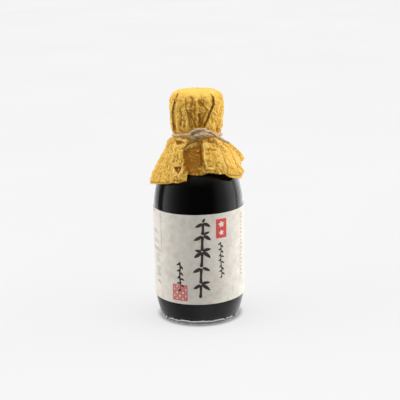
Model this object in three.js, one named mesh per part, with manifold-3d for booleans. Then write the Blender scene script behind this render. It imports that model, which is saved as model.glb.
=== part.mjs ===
// Soy sauce bottle: a round glass bottle full of sauce, with a paper label round its body.
// A crumpled sheet of paper covers its head and shoulder, tied round the neck with cord.
//
// Millimetres, +Z up. The origin is on the bottle's axis, at the face that it stands on.
// The front of the bottle faces -Y. Angles round the axis are in degrees, counted from the
// front towards +X.

import * as THREE from 'three';
import { mergeVertices } from 'three/addons/utils/BufferGeometryUtils.js';
import Module from 'manifold-3d';

const wasm = await Module();
wasm.setup();

// Bottle
const BODY_RADIUS = 27.8;
const WALL = 2.6;
const FOOT_OUTER_RADIUS = 24.2;
const FOOT_INNER_RADIUS = 21.6;
const FOOT_EDGE = { radius: 25.0, z: 1.6 };
const FOOT_RING_HEIGHT = 2.6;
const PUNT_HEIGHT = 3.2;
const HEEL_TOP_Z = 16.5;
const SHOULDER_START_Z = 70;
const NECK_RADIUS = 12.2;
const NECK_START_Z = 110.5;
const MOUTH_Z = 134;
const BORE_RADIUS = NECK_RADIUS - 2.4;
const FLOOR_Z = 4.6;
const CORNER_Z = 7.4;
const SIDES = 48;

// Sauce, up to the foot of the neck
const SAUCE_GAP = 0.3;
const SAUCE_TOP_Z = 118;

// Label
const LABEL_BOTTOM_Z = 14.9;
const LABEL_TOP_Z = 71.4;
const LABEL_THICKNESS = 0.2;
const LABEL_GAP = 0.1;
const LABEL_SLOPE = 0.0068;
const LABEL_BARE_STRIPS = 3;

// Paper cover
const COVER_TOP_Z = 142.2;
const COVER_PAPER = 0.4;
const COVER_GAP = 0.3;
const COVER_WAIST_RADIUS = 13.6;
const SKIRT_START_RADIUS = 13.9;
const CRUMPLE = 0.24;
const COLUMN_WIDTH = 3.4;
const SKIRT_ROWS = 9;

// Tie cord: its ring leans, higher at the knot in front than at the back
const CORD_RADIUS = 0.9;
const CORD_SIDES = 8;
const TIE_RADIUS = COVER_WAIST_RADIUS + COVER_GAP + CORD_RADIUS;
const TIE_Z = 114.5;
const TIE_RISE = 2.8;

const radians = THREE.MathUtils.degToRad;
const lerp = THREE.MathUtils.lerp;

// A point at an angle round the axis, a radius and a height
function around(angle, radius, z) {
  const turn = radians(angle);
  return new THREE.Vector3(radius * Math.sin(turn), -radius * Math.cos(turn), z);
}

function tieHeight(angle) {
  return TIE_Z + TIE_RISE * Math.cos(radians(angle));
}

// Profiles are lists of Vector2 (radius, z)
const point = (radius, z) => new THREE.Vector2(radius, z);

function bend(from, fromPull, toPull, to, steps) {
  return new THREE.CubicBezierCurve(from, fromPull, toPull, to).getPoints(steps);
}

// Turn a profile round the Z axis
function turned(profile) {
  return new THREE.LatheGeometry(profile, SIDES).rotateX(Math.PI / 2);
}

function outerHeel() {
  return bend(
    point(FOOT_EDGE.radius, FOOT_EDGE.z),
    point(25.9, 5.6),
    point(BODY_RADIUS, 12),
    point(BODY_RADIUS, HEEL_TOP_Z),
    6,
  );
}

function outerShoulder() {
  return bend(
    point(BODY_RADIUS, SHOULDER_START_Z),
    point(BODY_RADIUS, 96),
    point(NECK_RADIUS, 106),
    point(NECK_RADIUS, NECK_START_Z),
    10,
  );
}

// The inside wall from the middle of the floor up to a height in the neck, moved in by a gap
function innerWall(gap, topZ) {
  const radius = BODY_RADIUS - WALL - gap;
  const bore = BORE_RADIUS - gap;
  return [
    point(0, FLOOR_Z + gap),
    ...bend(
      point(2, FLOOR_Z + gap),
      point(18, FLOOR_Z - 0.6 + gap),
      point(radius + 0.2, FLOOR_Z - 1.6 + gap),
      point(radius, CORNER_Z),
      6,
    ),
    point(radius, HEEL_TOP_Z),
    ...bend(
      point(radius, SHOULDER_START_Z),
      point(radius, 94.5),
      point(bore, 104),
      point(bore, NECK_START_Z),
      8,
    ),
    point(bore, topZ),
  ];
}

function bottleGlass() {
  const lip = 0.8;
  const outside = [
    point(0, PUNT_HEIGHT),
    point(FOOT_INNER_RADIUS - 1.1, FOOT_RING_HEIGHT),
    point(FOOT_INNER_RADIUS, 0),
    point(FOOT_OUTER_RADIUS, 0),
    ...outerHeel(),
    ...outerShoulder(),
    point(NECK_RADIUS, MOUTH_Z - lip),
    point(NECK_RADIUS - lip, MOUTH_Z),
    point(BORE_RADIUS + lip, MOUTH_Z),
  ];
  const inside = innerWall(0, MOUTH_Z - lip).reverse();
  return turned([...outside, ...inside]);
}

function soySauce() {
  return turned([...innerWall(SAUCE_GAP, SAUCE_TOP_Z), point(0, SAUCE_TOP_Z)]);
}

// A closed solid from a grid of points: each row goes once round, and the rows run from a
// first single point to a last single point
function closedGrid(first, rows, last) {
  const columns = rows[0].length;
  const positions = [];
  for (const p of [first, ...rows.flat(), last]) positions.push(p.x, p.y, p.z);
  const at = (row, column) => 1 + row * columns + (column % columns);
  const end = 1 + rows.length * columns;
  const index = [];
  for (let c = 0; c < columns; c++) {
    index.push(0, at(0, c), at(0, c + 1));
    index.push(end, at(rows.length - 1, c + 1), at(rows.length - 1, c));
    for (let r = 0; r + 1 < rows.length; r++) {
      index.push(at(r, c), at(r + 1, c), at(r + 1, c + 1));
      index.push(at(r, c), at(r + 1, c + 1), at(r, c + 1));
    }
  }
  const geometry = new THREE.BufferGeometry();
  geometry.setAttribute('position', new THREE.Float32BufferAttribute(positions, 3));
  geometry.setIndex(index);
  return geometry;
}

// The label: a thin wrap with its two ends apart at the back, in the same facets as the body.
// It was stuck on a little askew, so its edges climb towards +X.
function labelWrap() {
  const inner = BODY_RADIUS + LABEL_GAP;
  const outer = inner + LABEL_THICKNESS;
  const step = 360 / SIDES;
  const half = 180 - (LABEL_BARE_STRIPS * step) / 2;
  const firstStep = Math.ceil(-half / step);
  const lastStep = Math.floor(half / step);
  const rails = [];
  for (let i = firstStep; i <= lastStep; i++) {
    const corner = (radius, z) => {
      const p = around(i * step, radius, z);
      p.z += LABEL_SLOPE * p.x;
      return p;
    };
    rails.push([
      corner(outer, LABEL_BOTTOM_Z),
      corner(outer, LABEL_TOP_Z),
      corner(inner, LABEL_TOP_Z),
      corner(inner, LABEL_BOTTOM_Z),
    ]);
  }
  const positions = rails.flat().flatMap((p) => [p.x, p.y, p.z]);
  const index = [];
  for (let i = 0; i + 1 < rails.length; i++) {
    for (let k = 0; k < 4; k++) {
      const [a, b] = [4 * i + k, 4 * i + ((k + 1) % 4)];
      index.push(a, a + 4, b + 4);
      index.push(a, b + 4, b);
    }
  }
  const end = 4 * (rails.length - 1);
  index.push(0, 1, 2, 0, 2, 3);
  index.push(end, end + 2, end + 1, end, end + 3, end + 2);
  const geometry = new THREE.BufferGeometry();
  geometry.setAttribute('position', new THREE.Float32BufferAttribute(positions, 3));
  geometry.setIndex(index);
  return geometry;
}

// The creases of the paper cover, in order round the bottle, each from the rim of its top down
// to the hem of its skirt. Where hem angles step back, the paper folds over itself.
//   rim, tie, hem   angle at the top rim, at the cord and at the hem
//   kink            angle that the crease passes below the cord, if it isn't straight
//   lift            how far the crease stands out of the covered head
//   reach, foot     radius and height of its end at the hem
//   belly           how far the skirt swells outwards on its way down
const CREASES = [
  { rim: -76, tie: -76, hem: -78, lift: 0.3, reach: 29.8, foot: 87.4, belly: 0.8 },
  { rim: -58, tie: -69, hem: -66, lift: 0.4, reach: 28.9, foot: 88.4, belly: 1.0 },
  { rim: -55, tie: -65, hem: -51, lift: -0.4, reach: 28.6, foot: 89.4, belly: 1.4 },
  { rim: -46, tie: -50, hem: -35, lift: 0.2, reach: 28.4, foot: 90.3, belly: 2.0 },
  { rim: -33, tie: -30, hem: -24, lift: -0.5, reach: 28.4, foot: 91.2, belly: 2.8 },
  { rim: -22, tie: -14, kink: -25, hem: -14, lift: 0.3, reach: 28.4, foot: 92.3, belly: 2.8 },
  { rim: -14, tie: -9, kink: -27, hem: -27, lift: -0.3, reach: 25.0, foot: 95.0, belly: 1.0 },
  { rim: -4, tie: -5, hem: -15, lift: 0.4, reach: 24.4, foot: 95.8, belly: 0.2 },
  { rim: 8, tie: -1, hem: 0, lift: -0.5, reach: 24.8, foot: 94.6, belly: 0.2 },
  { rim: 22, tie: 3, hem: 19, lift: 0.1, reach: 24.4, foot: 94.3, belly: 0.2 },
  { rim: 40, tie: 7, hem: 8, lift: -0.5, reach: 27.6, foot: 97.3, belly: 2.0 },
  { rim: 43, tie: 12, hem: 22, lift: 0.7, reach: 28.2, foot: 96.2, belly: 3.2 },
  { rim: 52, tie: 30, hem: 36, lift: 0.4, reach: 28.4, foot: 95.0, belly: 3.2 },
  { rim: 64, tie: 52, hem: 62, lift: -0.2, reach: 28.7, foot: 92.0, belly: 2.2 },
  { rim: 76, tie: 68, hem: 79, lift: 0.4, reach: 29.3, foot: 92.4, belly: 1.8 },
  { rim: 84, tie: 78, hem: 88, lift: -0.3, reach: 26.6, foot: 95.0, belly: 1.0 },
  { rim: 96, tie: 90, hem: 108, lift: 0.3, reach: 30.8, foot: 97.8, belly: 1.2 },
  { rim: 112, tie: 110, hem: 121, lift: -0.3, reach: 27.4, foot: 94.5, belly: 1.6 },
  { rim: 132, tie: 130, hem: 141, lift: 0.4, reach: 27.6, foot: 92.5, belly: 2.4 },
  { rim: 150, tie: 156, hem: 169, lift: 0.3, reach: 28.0, foot: 91.6, belly: 2.4 },
  { rim: 158, tie: 163, hem: 156, lift: -0.4, reach: 24.8, foot: 93.0, belly: 0.8 },
  { rim: 176, tie: 176, hem: 180, lift: 0.3, reach: 24.4, foot: 93.6, belly: 0.2 },
  { rim: 192, tie: 188, hem: 205, lift: -0.4, reach: 24.8, foot: 93.2, belly: 0.8 },
  { rim: 200, tie: 196, hem: 193, lift: 0.5, reach: 28.0, foot: 92.2, belly: 2.2 },
  { rim: 216, tie: 214, hem: 216, lift: -0.3, reach: 28.2, foot: 90.2, belly: 2.0 },
  { rim: 234, tie: 232, hem: 236, lift: 0.3, reach: 30.0, foot: 87.8, belly: 1.8 },
  { rim: 250, tie: 250, hem: 250, lift: -0.3, reach: 28.2, foot: 91.0, belly: 1.6 },
  { rim: 268, tie: 268, hem: 266, lift: 0.3, reach: 28.0, foot: 91.0, belly: 1.2 },
];

// The covered head in section, from the middle of its flat top down to just above the cord
const HEAD = [
  { radius: 6.0, z: COVER_TOP_Z },
  { radius: 10.8, z: COVER_TOP_Z - 0.2 },
  { radius: 13.6, z: COVER_TOP_Z - 1.4 },
  { radius: 15.3, z: COVER_TOP_Z - 3.6 },
  { radius: 16.1, z: COVER_TOP_Z - 6.4 },
  { radius: 16.3, z: 132.0 },
  { radius: 16.0, z: 128.0 },
  { radius: 15.6, z: 124.2 },
  { radius: 14.9, z: 120.8 },
];

// A repeatable random number from -1 to 1 for each pair of whole numbers
function scatter(i, j) {
  let h = Math.imul(i + 101, 374761393) ^ Math.imul(j + 57, 668265263);
  h = Math.imul(h ^ (h >>> 13), 1274126177);
  return ((h ^ (h >>> 16)) >>> 0) / 2147483648 - 1;
}

// Whether the paper turns back on itself at a crease, or right beside it
function nearFold(i) {
  const hem = (k) => CREASES[(k + CREASES.length) % CREASES.length].hem + (k >= CREASES.length ? 360 : 0);
  return i > 0 && (hem(i + 1) < hem(i) || hem(i) < hem(i - 1));
}

// The columns of the cover's grid: every crease, and even steps between creases
function coverColumns() {
  const columns = [];
  CREASES.forEach((from, i) => {
    const wrap = i + 1 < CREASES.length ? 0 : 360;
    const to = CREASES[(i + 1) % CREASES.length];
    const a = around(from.hem, from.reach, 0);
    const b = around(to.hem + wrap, to.reach, 0);
    const steps = Math.max(1, Math.round(a.distanceTo(b) / COLUMN_WIDTH));
    const crisp = nearFold(i) || nearFold(i + 1);
    for (let k = 0; k < steps; k++) columns.push({ from, to, wrap, t: k / steps, crisp });
  });
  return columns;
}

// A point on one crease of the skirt, s from 0 below the cord to 1 at the hem
function skirtPoint(crease, wrap, s) {
  const kink = crease.kink ?? lerp(crease.tie, crease.hem, 0.3);
  const bent = s < 0.3 ? lerp(crease.tie, kink, s / 0.3) : lerp(kink, crease.hem, (s - 0.3) / 0.7);
  const start = SKIRT_START_RADIUS + 0.25 * (crease.reach - 27.5) * Math.min(1, 6 * s + 0.4);
  const rise = tieHeight(crease.tie) - 1.3;
  const swell = 4 * s * (1 - s) * crease.belly;
  const radius = lerp(start, crease.reach, s) + swell * 0.75;
  const z = lerp(rise, crease.foot, s) + swell * 0.5;
  return around(bent + wrap, radius, z);
}

function skirtRow(columns, s) {
  return columns.map(({ from, to, wrap, t }) =>
    skirtPoint(from, 0, s).lerp(skirtPoint(to, wrap, s), t),
  );
}

// A row of the covered head, or of the waist under the cord
function headRow(columns, { radius, z }, down, pleats) {
  return columns.map(({ from, to, wrap, t }) => {
    const angle = (crease) => lerp(crease.rim, crease.tie, down);
    const turn = lerp(angle(from), angle(to) + wrap, t);
    const lift = lerp(from.lift, to.lift, t);
    return around(turn, radius + pleats * lift, z(turn));
  });
}

// The same row moved along the sheet's own normals, to give it thickness. The directions to
// both neighbours are taken square to the crease, so that a sharp fold keeps its thickness.
function thickened(rows, r, distance) {
  const above = rows[Math.max(0, r - 1)];
  const below = rows[Math.min(rows.length - 1, r + 1)];
  const count = rows[r].length;
  return rows[r].map((p, c) => {
    const down = below[c].clone().sub(above[c]).normalize();
    const towards = (q) => q.clone().sub(p).projectOnPlane(down).normalize();
    const across = towards(rows[r][(c + 1) % count]).sub(towards(rows[r][(c + count - 1) % count]));
    return p.clone().addScaledVector(down.cross(across).normalize(), distance);
  });
}

// The same row pushed in and out at random, except where the layers of a fold lie close
function crumpled(row, columns, r, amount) {
  return row.map((p, c) => {
    const out = new THREE.Vector3(p.x, p.y, 0).normalize();
    return p.clone().addScaledVector(out, columns[c].crisp ? 0 : amount * scatter(c, r));
  });
}

function paperCover() {
  const columns = coverColumns();
  const rimZ = COVER_TOP_Z - 6.4;
  const head = HEAD.map((ring, i) => {
    const down = THREE.MathUtils.clamp((rimZ - ring.z) / (rimZ - TIE_Z - TIE_RISE), 0, 1);
    const pleats = THREE.MathUtils.clamp((ring.radius - 10.8) / 4, 0, 1);
    const z = (turn) => ring.z + (tieHeight(turn) - TIE_Z - TIE_RISE) * down * down;
    const row = headRow(columns, { radius: ring.radius, z }, down, pleats);
    return crumpled(row, columns, i, CRUMPLE * pleats);
  });
  const waist = (radius, offset, pleats) =>
    headRow(columns, { radius, z: (turn) => tieHeight(turn) + offset }, 1, pleats);
  const sheet = [];
  for (let i = 0; i <= SKIRT_ROWS; i++) {
    const s = i / SKIRT_ROWS;
    const amount = CRUMPLE * Math.min(1, 2 * s);
    sheet.push(crumpled(skirtRow(columns, s), columns, i + HEAD.length, amount));
  }
  const outer = sheet.map((row, r) => thickened(sheet, r, COVER_PAPER / 2));
  const inner = sheet.map((row, r) => thickened(sheet, r, -COVER_PAPER / 2)).reverse();
  const neckRadius = NECK_RADIUS + COVER_GAP;
  const rows = [
    ...head,
    waist(COVER_WAIST_RADIUS + 0.5, 1.4, 0.2),
    waist(COVER_WAIST_RADIUS, 0, 0),
    ...outer,
    ...inner.slice(0, -1),
    waist(neckRadius, -1.6, 0),
    headRow(columns, { radius: neckRadius, z: () => MOUTH_Z + COVER_GAP }, 1, 0),
  ];
  return closedGrid(
    new THREE.Vector3(0, 0, COVER_TOP_Z),
    rows,
    new THREE.Vector3(0, 0, MOUTH_Z + COVER_GAP),
  );
}

// Cord of round section along a list of [angle, radius, z]
function cordAlong(places, steps) {
  const path = new THREE.CatmullRomCurve3(places.map((place) => around(...place)), false, 'centripetal');
  const section = new THREE.Shape().absarc(0, 0, CORD_RADIUS, 0, 2 * Math.PI);
  return new THREE.ExtrudeGeometry(section, {
    steps,
    extrudePath: path,
    curveSegments: CORD_SIDES / 2,
    bevelEnabled: false,
  });
}

function asManifold(geometry) {
  geometry.deleteAttribute('normal');
  geometry.deleteAttribute('uv');
  const merged = mergeVertices(geometry, 1e-4);
  return new wasm.Manifold(
    new wasm.Mesh({
      numProp: 3,
      vertProperties: new Float32Array(merged.attributes.position.array),
      triVerts: new Uint32Array(merged.index.array),
    }),
  );
}

function fromManifold(solid) {
  const mesh = solid.getMesh();
  const geometry = new THREE.BufferGeometry();
  geometry.setAttribute('position', new THREE.Float32BufferAttribute(mesh.vertProperties, 3));
  geometry.setIndex(Array.from(mesh.triVerts));
  return geometry;
}

// The cord goes from the knot round the neck and back, and through the knot to its free end,
// which stands out to the right. Its other end makes the loop at the left of the knot.
function tieCord() {
  const lowerStrand = [
    [-4, 16.0, 116.2],
    [7, 16.4, 116.8],
    [16, 16.3, 117.0],
    [26, 15.9, 117.0],
    [37, 15.5, 116.7],
  ];
  const ring = [];
  for (let angle = 52; angle <= 310; angle += 21.5) {
    ring.push([angle, TIE_RADIUS, tieHeight(angle)]);
  }
  const upperStrand = [
    [-29, 15.4, 117.2],
    [-17, 15.7, 117.6],
    [-6, 16.1, 118.1],
    [0, 16.7, 119.3],
    [8, 17.0, 120.1],
    [16, 17.3, 120.4],
    [21, 17.7, 120.5],
    [25, 18.2, 119.5],
  ];
  const freeEnd = [
    [30, 18.7, 118.2],
    [41, 20.8, 115.0],
    [53, 24.0, 112.0],
  ];
  const loop = [
    [-3, 15.6, 115.9],
    [-8, 16.6, 115.9],
    [-12, 17.1, 117.0],
    [-12, 17.2, 118.2],
    [-9, 17.4, 119.6],
    [-3, 17.7, 120.8],
    [4, 17.8, 121.2],
    [10, 17.6, 120.8],
    [15, 16.6, 120.1],
  ];
  const cord = asManifold(cordAlong([...lowerStrand, ...ring, ...upperStrand, ...freeEnd], 76));
  return fromManifold(cord.add(asManifold(cordAlong(loop, 14))));
}

function piece(name, geometry, material) {
  const mesh = new THREE.Mesh(geometry, new THREE.MeshStandardMaterial(material));
  mesh.name = name;
  return mesh;
}

const bottle = new THREE.Group();
bottle.add(
  piece('bottle_glass', bottleGlass(), { color: 0xe4ece6, roughness: 0.05, metalness: 0 }),
  piece('soy_sauce', soySauce(), { color: 0x120a07, roughness: 0.1, metalness: 0 }),
  piece('label', labelWrap(), { color: 0xcfc5bb, roughness: 0.9, metalness: 0 }),
  piece('paper_cover', paperCover(), { color: 0xe2b44c, roughness: 0.85, metalness: 0 }),
  piece('tie_cord', tieCord(), { color: 0xb59a80, roughness: 0.9, metalness: 0 }),
);

export default bottle;
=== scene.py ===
# The looks of the soy sauce bottle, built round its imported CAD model.
#
# The shapes are worked out in millimetres and turned into metres where a mesh is made. The
# origin is on the bottle's axis at the face that it stands on, with +Z up, and the front
# faces -Y. Angles round the axis are in degrees, counted from the front towards +X.

import math

import bpy
import numpy as np
from mathutils import Matrix, Vector


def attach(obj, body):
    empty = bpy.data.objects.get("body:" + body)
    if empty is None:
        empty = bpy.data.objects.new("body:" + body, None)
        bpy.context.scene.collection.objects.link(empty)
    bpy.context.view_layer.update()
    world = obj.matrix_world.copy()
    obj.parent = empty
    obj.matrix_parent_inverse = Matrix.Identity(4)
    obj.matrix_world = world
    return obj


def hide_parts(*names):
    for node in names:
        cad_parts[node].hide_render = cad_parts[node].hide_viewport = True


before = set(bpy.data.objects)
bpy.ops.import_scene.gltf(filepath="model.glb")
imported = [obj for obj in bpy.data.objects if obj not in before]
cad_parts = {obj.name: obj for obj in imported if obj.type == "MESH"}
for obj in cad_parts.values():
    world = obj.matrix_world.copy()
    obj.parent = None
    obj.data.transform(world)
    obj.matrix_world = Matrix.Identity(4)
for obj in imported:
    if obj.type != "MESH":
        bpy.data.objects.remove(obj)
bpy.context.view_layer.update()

MM = 0.001

# Camera, as fitted to the outline of the bottle and the edges of its label
CAMERA_DISTANCE = 650.0
CAMERA_TILT = 14.835
CAMERA_ROLL = -1.005
CAMERA_AIM = (1.03, 0.0, 73.36)
CAMERA_LENS = 94.416
SENSOR_WIDTH = 36.0

# Bottle
BODY_RADIUS = 27.8
WALL = 2.6
HEEL_TOP_Z = 16.5
SHOULDER_START_Z = 70.0
NECK_RADIUS = 12.2
NECK_START_Z = 110.5
MOUTH_Z = 134.0
BORE_RADIUS = NECK_RADIUS - 2.4
FLOOR_Z = 4.6
CORNER_Z = 7.4
FOOT_EDGE = (25.0, 1.6)
RING_INNER = 21.4
RING_OUTER = 22.8
RING_Z = 2.6
PUNT_Z = 3.2
SAUCE_TOP_Z = 118.0
SAUCE_IN_WALL = 0.04
LATHE_SIDES = 192

# Label
LABEL_BOTTOM_Z = 14.9
LABEL_TOP_Z = 71.4
LABEL_INNER = 27.9
LABEL_OUTER = 28.1
LABEL_SLOPE = 0.0068
LABEL_HALF_TURN = 165.0

# Paper cover and cord
SKIRT_START_RADIUS = 13.9
COVER_NECK_RADIUS = 12.5
PAPER = 0.16
TIE_Z = 114.5
TIE_RISE = 2.8
TIE_RADIUS = 14.8
CORD_RADIUS = 0.9


# Geometry

def around(angle, radius, z):
    """Points at angles round the axis, with their radii and heights."""
    turn = np.radians(angle)
    x = radius * np.sin(turn)
    y = -radius * np.cos(turn)
    return np.stack(np.broadcast_arrays(x, y, z), axis=-1)


def tie_height(angle):
    return TIE_Z + TIE_RISE * np.cos(np.radians(angle))


def bend(start, start_pull, end_pull, end, steps):
    """Points along a cubic Bezier curve, as a list of (radius, z)."""
    t = np.linspace(0, 1, steps + 1)[:, None]
    a, b, c, d = (np.array(p, float) for p in (start, start_pull, end_pull, end))
    curve = a * (1 - t) ** 3 + 3 * b * t * (1 - t) ** 2 + 3 * c * t ** 2 * (1 - t) + d * t ** 3
    return [tuple(p) for p in curve]


def smooth_path(points, spacing):
    """Points at even steps along a smooth curve through the given points."""
    p = np.array(points, float)
    p = np.vstack([2 * p[0] - p[1], p, 2 * p[-1] - p[-2]])
    fine = []
    for a, b, c, d in zip(p[:-3], p[1:-2], p[2:-1], p[3:]):
        for t in np.linspace(0, 1, 24, endpoint=False):
            fine.append(0.5 * (2 * b + (c - a) * t + (2 * a - 5 * b + 4 * c - d) * t ** 2
                               + (3 * b - a - 3 * c + d) * t ** 3))
    fine.append(p[-2])
    fine = np.array(fine)
    along = np.concatenate([[0], np.cumsum(np.linalg.norm(np.diff(fine, axis=0), axis=1))])
    count = max(2, int(round(along[-1] / spacing)) + 1)
    even = np.linspace(0, along[-1], count)
    return np.stack([np.interp(even, along, fine[:, k]) for k in range(fine.shape[1])], axis=1)


def unit(v):
    return v / np.maximum(np.linalg.norm(v, axis=-1, keepdims=True), 1e-9)


def smoothstep(x, low, high):
    t = np.clip((x - low) / (high - low), 0, 1)
    return t * t * (3 - 2 * t)


# Large odd numbers that scatter the cells of a lattice, and where its places start
HASH_FACTORS = np.array([374761393, 668265263, 2246822519], np.uint64)
HASH_SEED_FACTOR = 3266489917
HASH_BITS = np.uint64(0xFFFFFFFF)
LATTICE_START = 1000.0


def hashed(cells, seed):
    """A repeatable number from -1 to 1 for each row of three whole numbers."""
    h = (cells.astype(np.uint64) * HASH_FACTORS).sum(axis=-1)
    h = (h + np.uint64(seed * HASH_SEED_FACTOR)) & HASH_BITS
    for shift in (15, 13, 16):
        h = ((h ^ (h >> np.uint64(shift))) * HASH_FACTORS[2]) & HASH_BITS
    return h.astype(float) / 2 ** 31 - 1.0


def facets(points, cell, seed):
    """Noise that is flat over the tetrahedra of a lattice, which creases a sheet like paper."""
    spin = Matrix.Rotation(0.7 + seed, 3, "X") @ Matrix.Rotation(0.4 + 1.7 * seed, 3, "Z")
    placed = points @ np.array(spin) / cell + LATTICE_START
    base = np.floor(placed).astype(np.int64)
    part = placed - base
    order = np.argsort(-part, axis=-1)
    ranked = np.take_along_axis(part, order, axis=-1)
    total = (1 - ranked[..., 0]) * hashed(base, seed)
    for step in range(3):
        base = base + (np.arange(3) == order[..., step, None])
        below = ranked[..., step + 1] if step < 2 else 0
        total = total + (ranked[..., step] - below) * hashed(base, seed)
    return total


def soft_noise(points, cell, seed):
    """Smooth noise from -1 to 1."""
    placed = points / cell + LATTICE_START
    base = np.floor(placed).astype(np.int64)
    t = smoothstep(placed - base, 0, 1)
    total = 0
    for corner in np.ndindex(2, 2, 2):
        weight = np.where(corner, t, 1 - t).prod(axis=-1)
        total = total + weight * hashed(base + np.array(corner), seed)
    return total


# Meshes

def mesh_piece(name, points, faces, material, node=None, sharp=None):
    """A mesh piece that rides on the part's body. Points are in millimetres."""
    mesh = bpy.data.meshes.new(name)
    mesh.from_pydata((np.asarray(points) * MM).tolist(), [], faces)
    mesh.validate()
    mesh.shade_smooth()
    if sharp is not None:
        mesh.set_sharp_from_angle(angle=math.radians(sharp))
    mesh.materials.append(material)
    piece = bpy.data.objects.new(name, mesh)
    bpy.context.scene.collection.objects.link(piece)
    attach(piece, "root")
    if node:
        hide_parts(node)
    return piece


def attach_number(piece, name, values):
    """Store one number at each vertex for the material to read."""
    attribute = piece.data.attributes.new(name, "FLOAT", "POINT")
    attribute.data.foreach_set("value", np.asarray(values, np.float32).ravel())


def ring_grid(rows, closed_ends=True):
    """Points and faces of rows that each go once round, with a cap point before and after."""
    rows = np.asarray(rows)
    count, columns = rows.shape[:2]
    points = rows.reshape(-1, 3)
    at = np.arange(count * columns).reshape(count, columns)
    right = np.roll(at, -1, axis=1)
    quads = np.stack([at[:-1], at[1:], right[1:], right[:-1]], axis=-1).reshape(-1, 4)
    faces = quads.tolist()
    if closed_ends:
        first = rows[0].mean(axis=0)
        last = rows[-1].mean(axis=0)
        points = np.vstack([points, first, last])
        start, end = count * columns, count * columns + 1
        for c in range(columns):
            faces.append((start, at[0, c], right[0, c]))
            faces.append((end, right[-1, c], at[-1, c]))
    return points, faces


def turned(profile):
    """A profile of (radius, z), counted up its outside, turned round the axis."""
    angles = np.arange(LATHE_SIDES) * 360.0 / LATHE_SIDES
    rows = [around(angles, r, z) for r, z in profile[::-1]]
    return ring_grid(rows)


def slab(top, bottom):
    """A closed thin solid between two grids of points of the same size."""
    n, m = top.shape[:2]
    at = np.arange(n * m).reshape(n, m)
    upper = np.stack([at[:-1, :-1], at[:-1, 1:], at[1:, 1:], at[1:, :-1]], axis=-1).reshape(-1, 4)
    rim = np.array([*at[0], *at[1:, -1], *at[-1, -2::-1], *at[-2:0:-1, 0]])
    after = np.roll(rim, -1)
    sides = np.stack([after, rim, rim + n * m, after + n * m], axis=1)
    faces = np.vstack([upper, upper[:, ::-1] + n * m, sides]).tolist()
    return np.vstack([top.reshape(-1, 3), bottom.reshape(-1, 3)]), faces


def merged(parts):
    """Several (points, faces) as one."""
    points, faces, start = [], [], 0
    for p, f in parts:
        points.append(p)
        faces.extend([tuple(int(v) + start for v in face) for face in f])
        start += len(p)
    return np.vstack(points), faces


# Shader nodes

def add(tree, kind, inputs=None, **settings):
    """A node with its settings and inputs. An input is a value or another node's socket."""
    node = tree.nodes.new("ShaderNode" + kind)
    for key, value in settings.items():
        setattr(node, key, value)
    for key, value in (inputs or {}).items():
        if isinstance(value, bpy.types.NodeSocket):
            tree.links.new(value, node.inputs[key])
        else:
            node.inputs[key].default_value = value
    return node


def maths(tree, operation, a, b=0.0, clamp=False):
    return add(tree, "Math", {0: a, 1: b}, operation=operation, use_clamp=clamp).outputs[0]


def mapped(tree, value, low, high, to_low=0.0, to_high=1.0):
    """A smooth change from to_low to to_high as a value goes from low to high."""
    inputs = {"Value": value, "From Min": low, "From Max": high, "To Min": to_low, "To Max": to_high}
    return add(tree, "MapRange", inputs, interpolation_type="SMOOTHSTEP").outputs[0]


def rgba(colour):
    """A grey or a colour with its alpha. A socket stays as it is."""
    if isinstance(colour, float):
        colour = (colour, colour, colour)
    return (*colour, 1) if isinstance(colour, tuple) else colour


def blend(tree, factor, a, b, mode="MIX"):
    inputs = {0: factor, 6: rgba(a), 7: rgba(b)}
    return add(tree, "Mix", inputs, data_type="RGBA", blend_type=mode).outputs[2]


def tinted(tree, base, value, band, strength, colour):
    """The base with a colour laid over it as a value goes through a band, up to a strength."""
    share = maths(tree, "MULTIPLY", mapped(tree, value, *band), strength)
    return blend(tree, share, base, colour)


def ramp(tree, factor, stops):
    """A ramp of greys or colours from a list of (place, value)."""
    node = add(tree, "ValToRGB", {"Fac": factor})
    points = node.color_ramp.elements
    while len(points) < len(stops):
        points.new(0.5)
    for point, (place, value) in zip(points, stops):
        point.position = place
        point.color = rgba(value)
    return node.outputs["Color"]


def noise(tree, place, scale, detail=4.0, roughness=0.55, stretch=(1, 1, 1)):
    """Noise at a scale given in cells per metre."""
    node = add(tree, "Mapping", {"Vector": place, "Scale": stretch})
    inputs = {"Vector": node.outputs[0], "Scale": scale, "Detail": detail, "Roughness": roughness}
    return add(tree, "TexNoise", inputs).outputs["Fac"]


def bump(tree, height, strength, distance):
    """A bump whose full height is given in millimetres."""
    inputs = {"Height": height, "Strength": strength, "Distance": distance * MM}
    return add(tree, "Bump", inputs).outputs[0]


def stored(tree, name):
    """The number that a piece stores at its vertices under a name."""
    return add(tree, "Attribute", attribute_name=name).outputs["Fac"]


def principled(tree, **inputs):
    named = {key.replace("_", " "): value for key, value in inputs.items()}
    return add(tree, "BsdfPrincipled", named).outputs[0]


def new_material(name):
    material = bpy.data.materials.new(name)
    material.use_nodes = True
    tree = material.node_tree
    tree.nodes.clear()
    place = add(tree, "TexCoord").outputs["Object"]
    return material, tree, place


def finished(material, tree, shader):
    add(tree, "OutputMaterial", {"Surface": shader})
    return material


# Camera, floor and light

def camera_axes():
    """The camera's directions to its right, up and forward."""
    tilt = math.radians(CAMERA_TILT)
    roll = math.radians(CAMERA_ROLL)
    level = np.array([1.0, 0, 0])
    upright = np.array([0, math.sin(tilt), math.cos(tilt)])
    right = math.cos(roll) * level + math.sin(roll) * upright
    up = math.cos(roll) * upright - math.sin(roll) * level
    return right, up, np.array([0, math.cos(tilt), -math.sin(tilt)])


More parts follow.
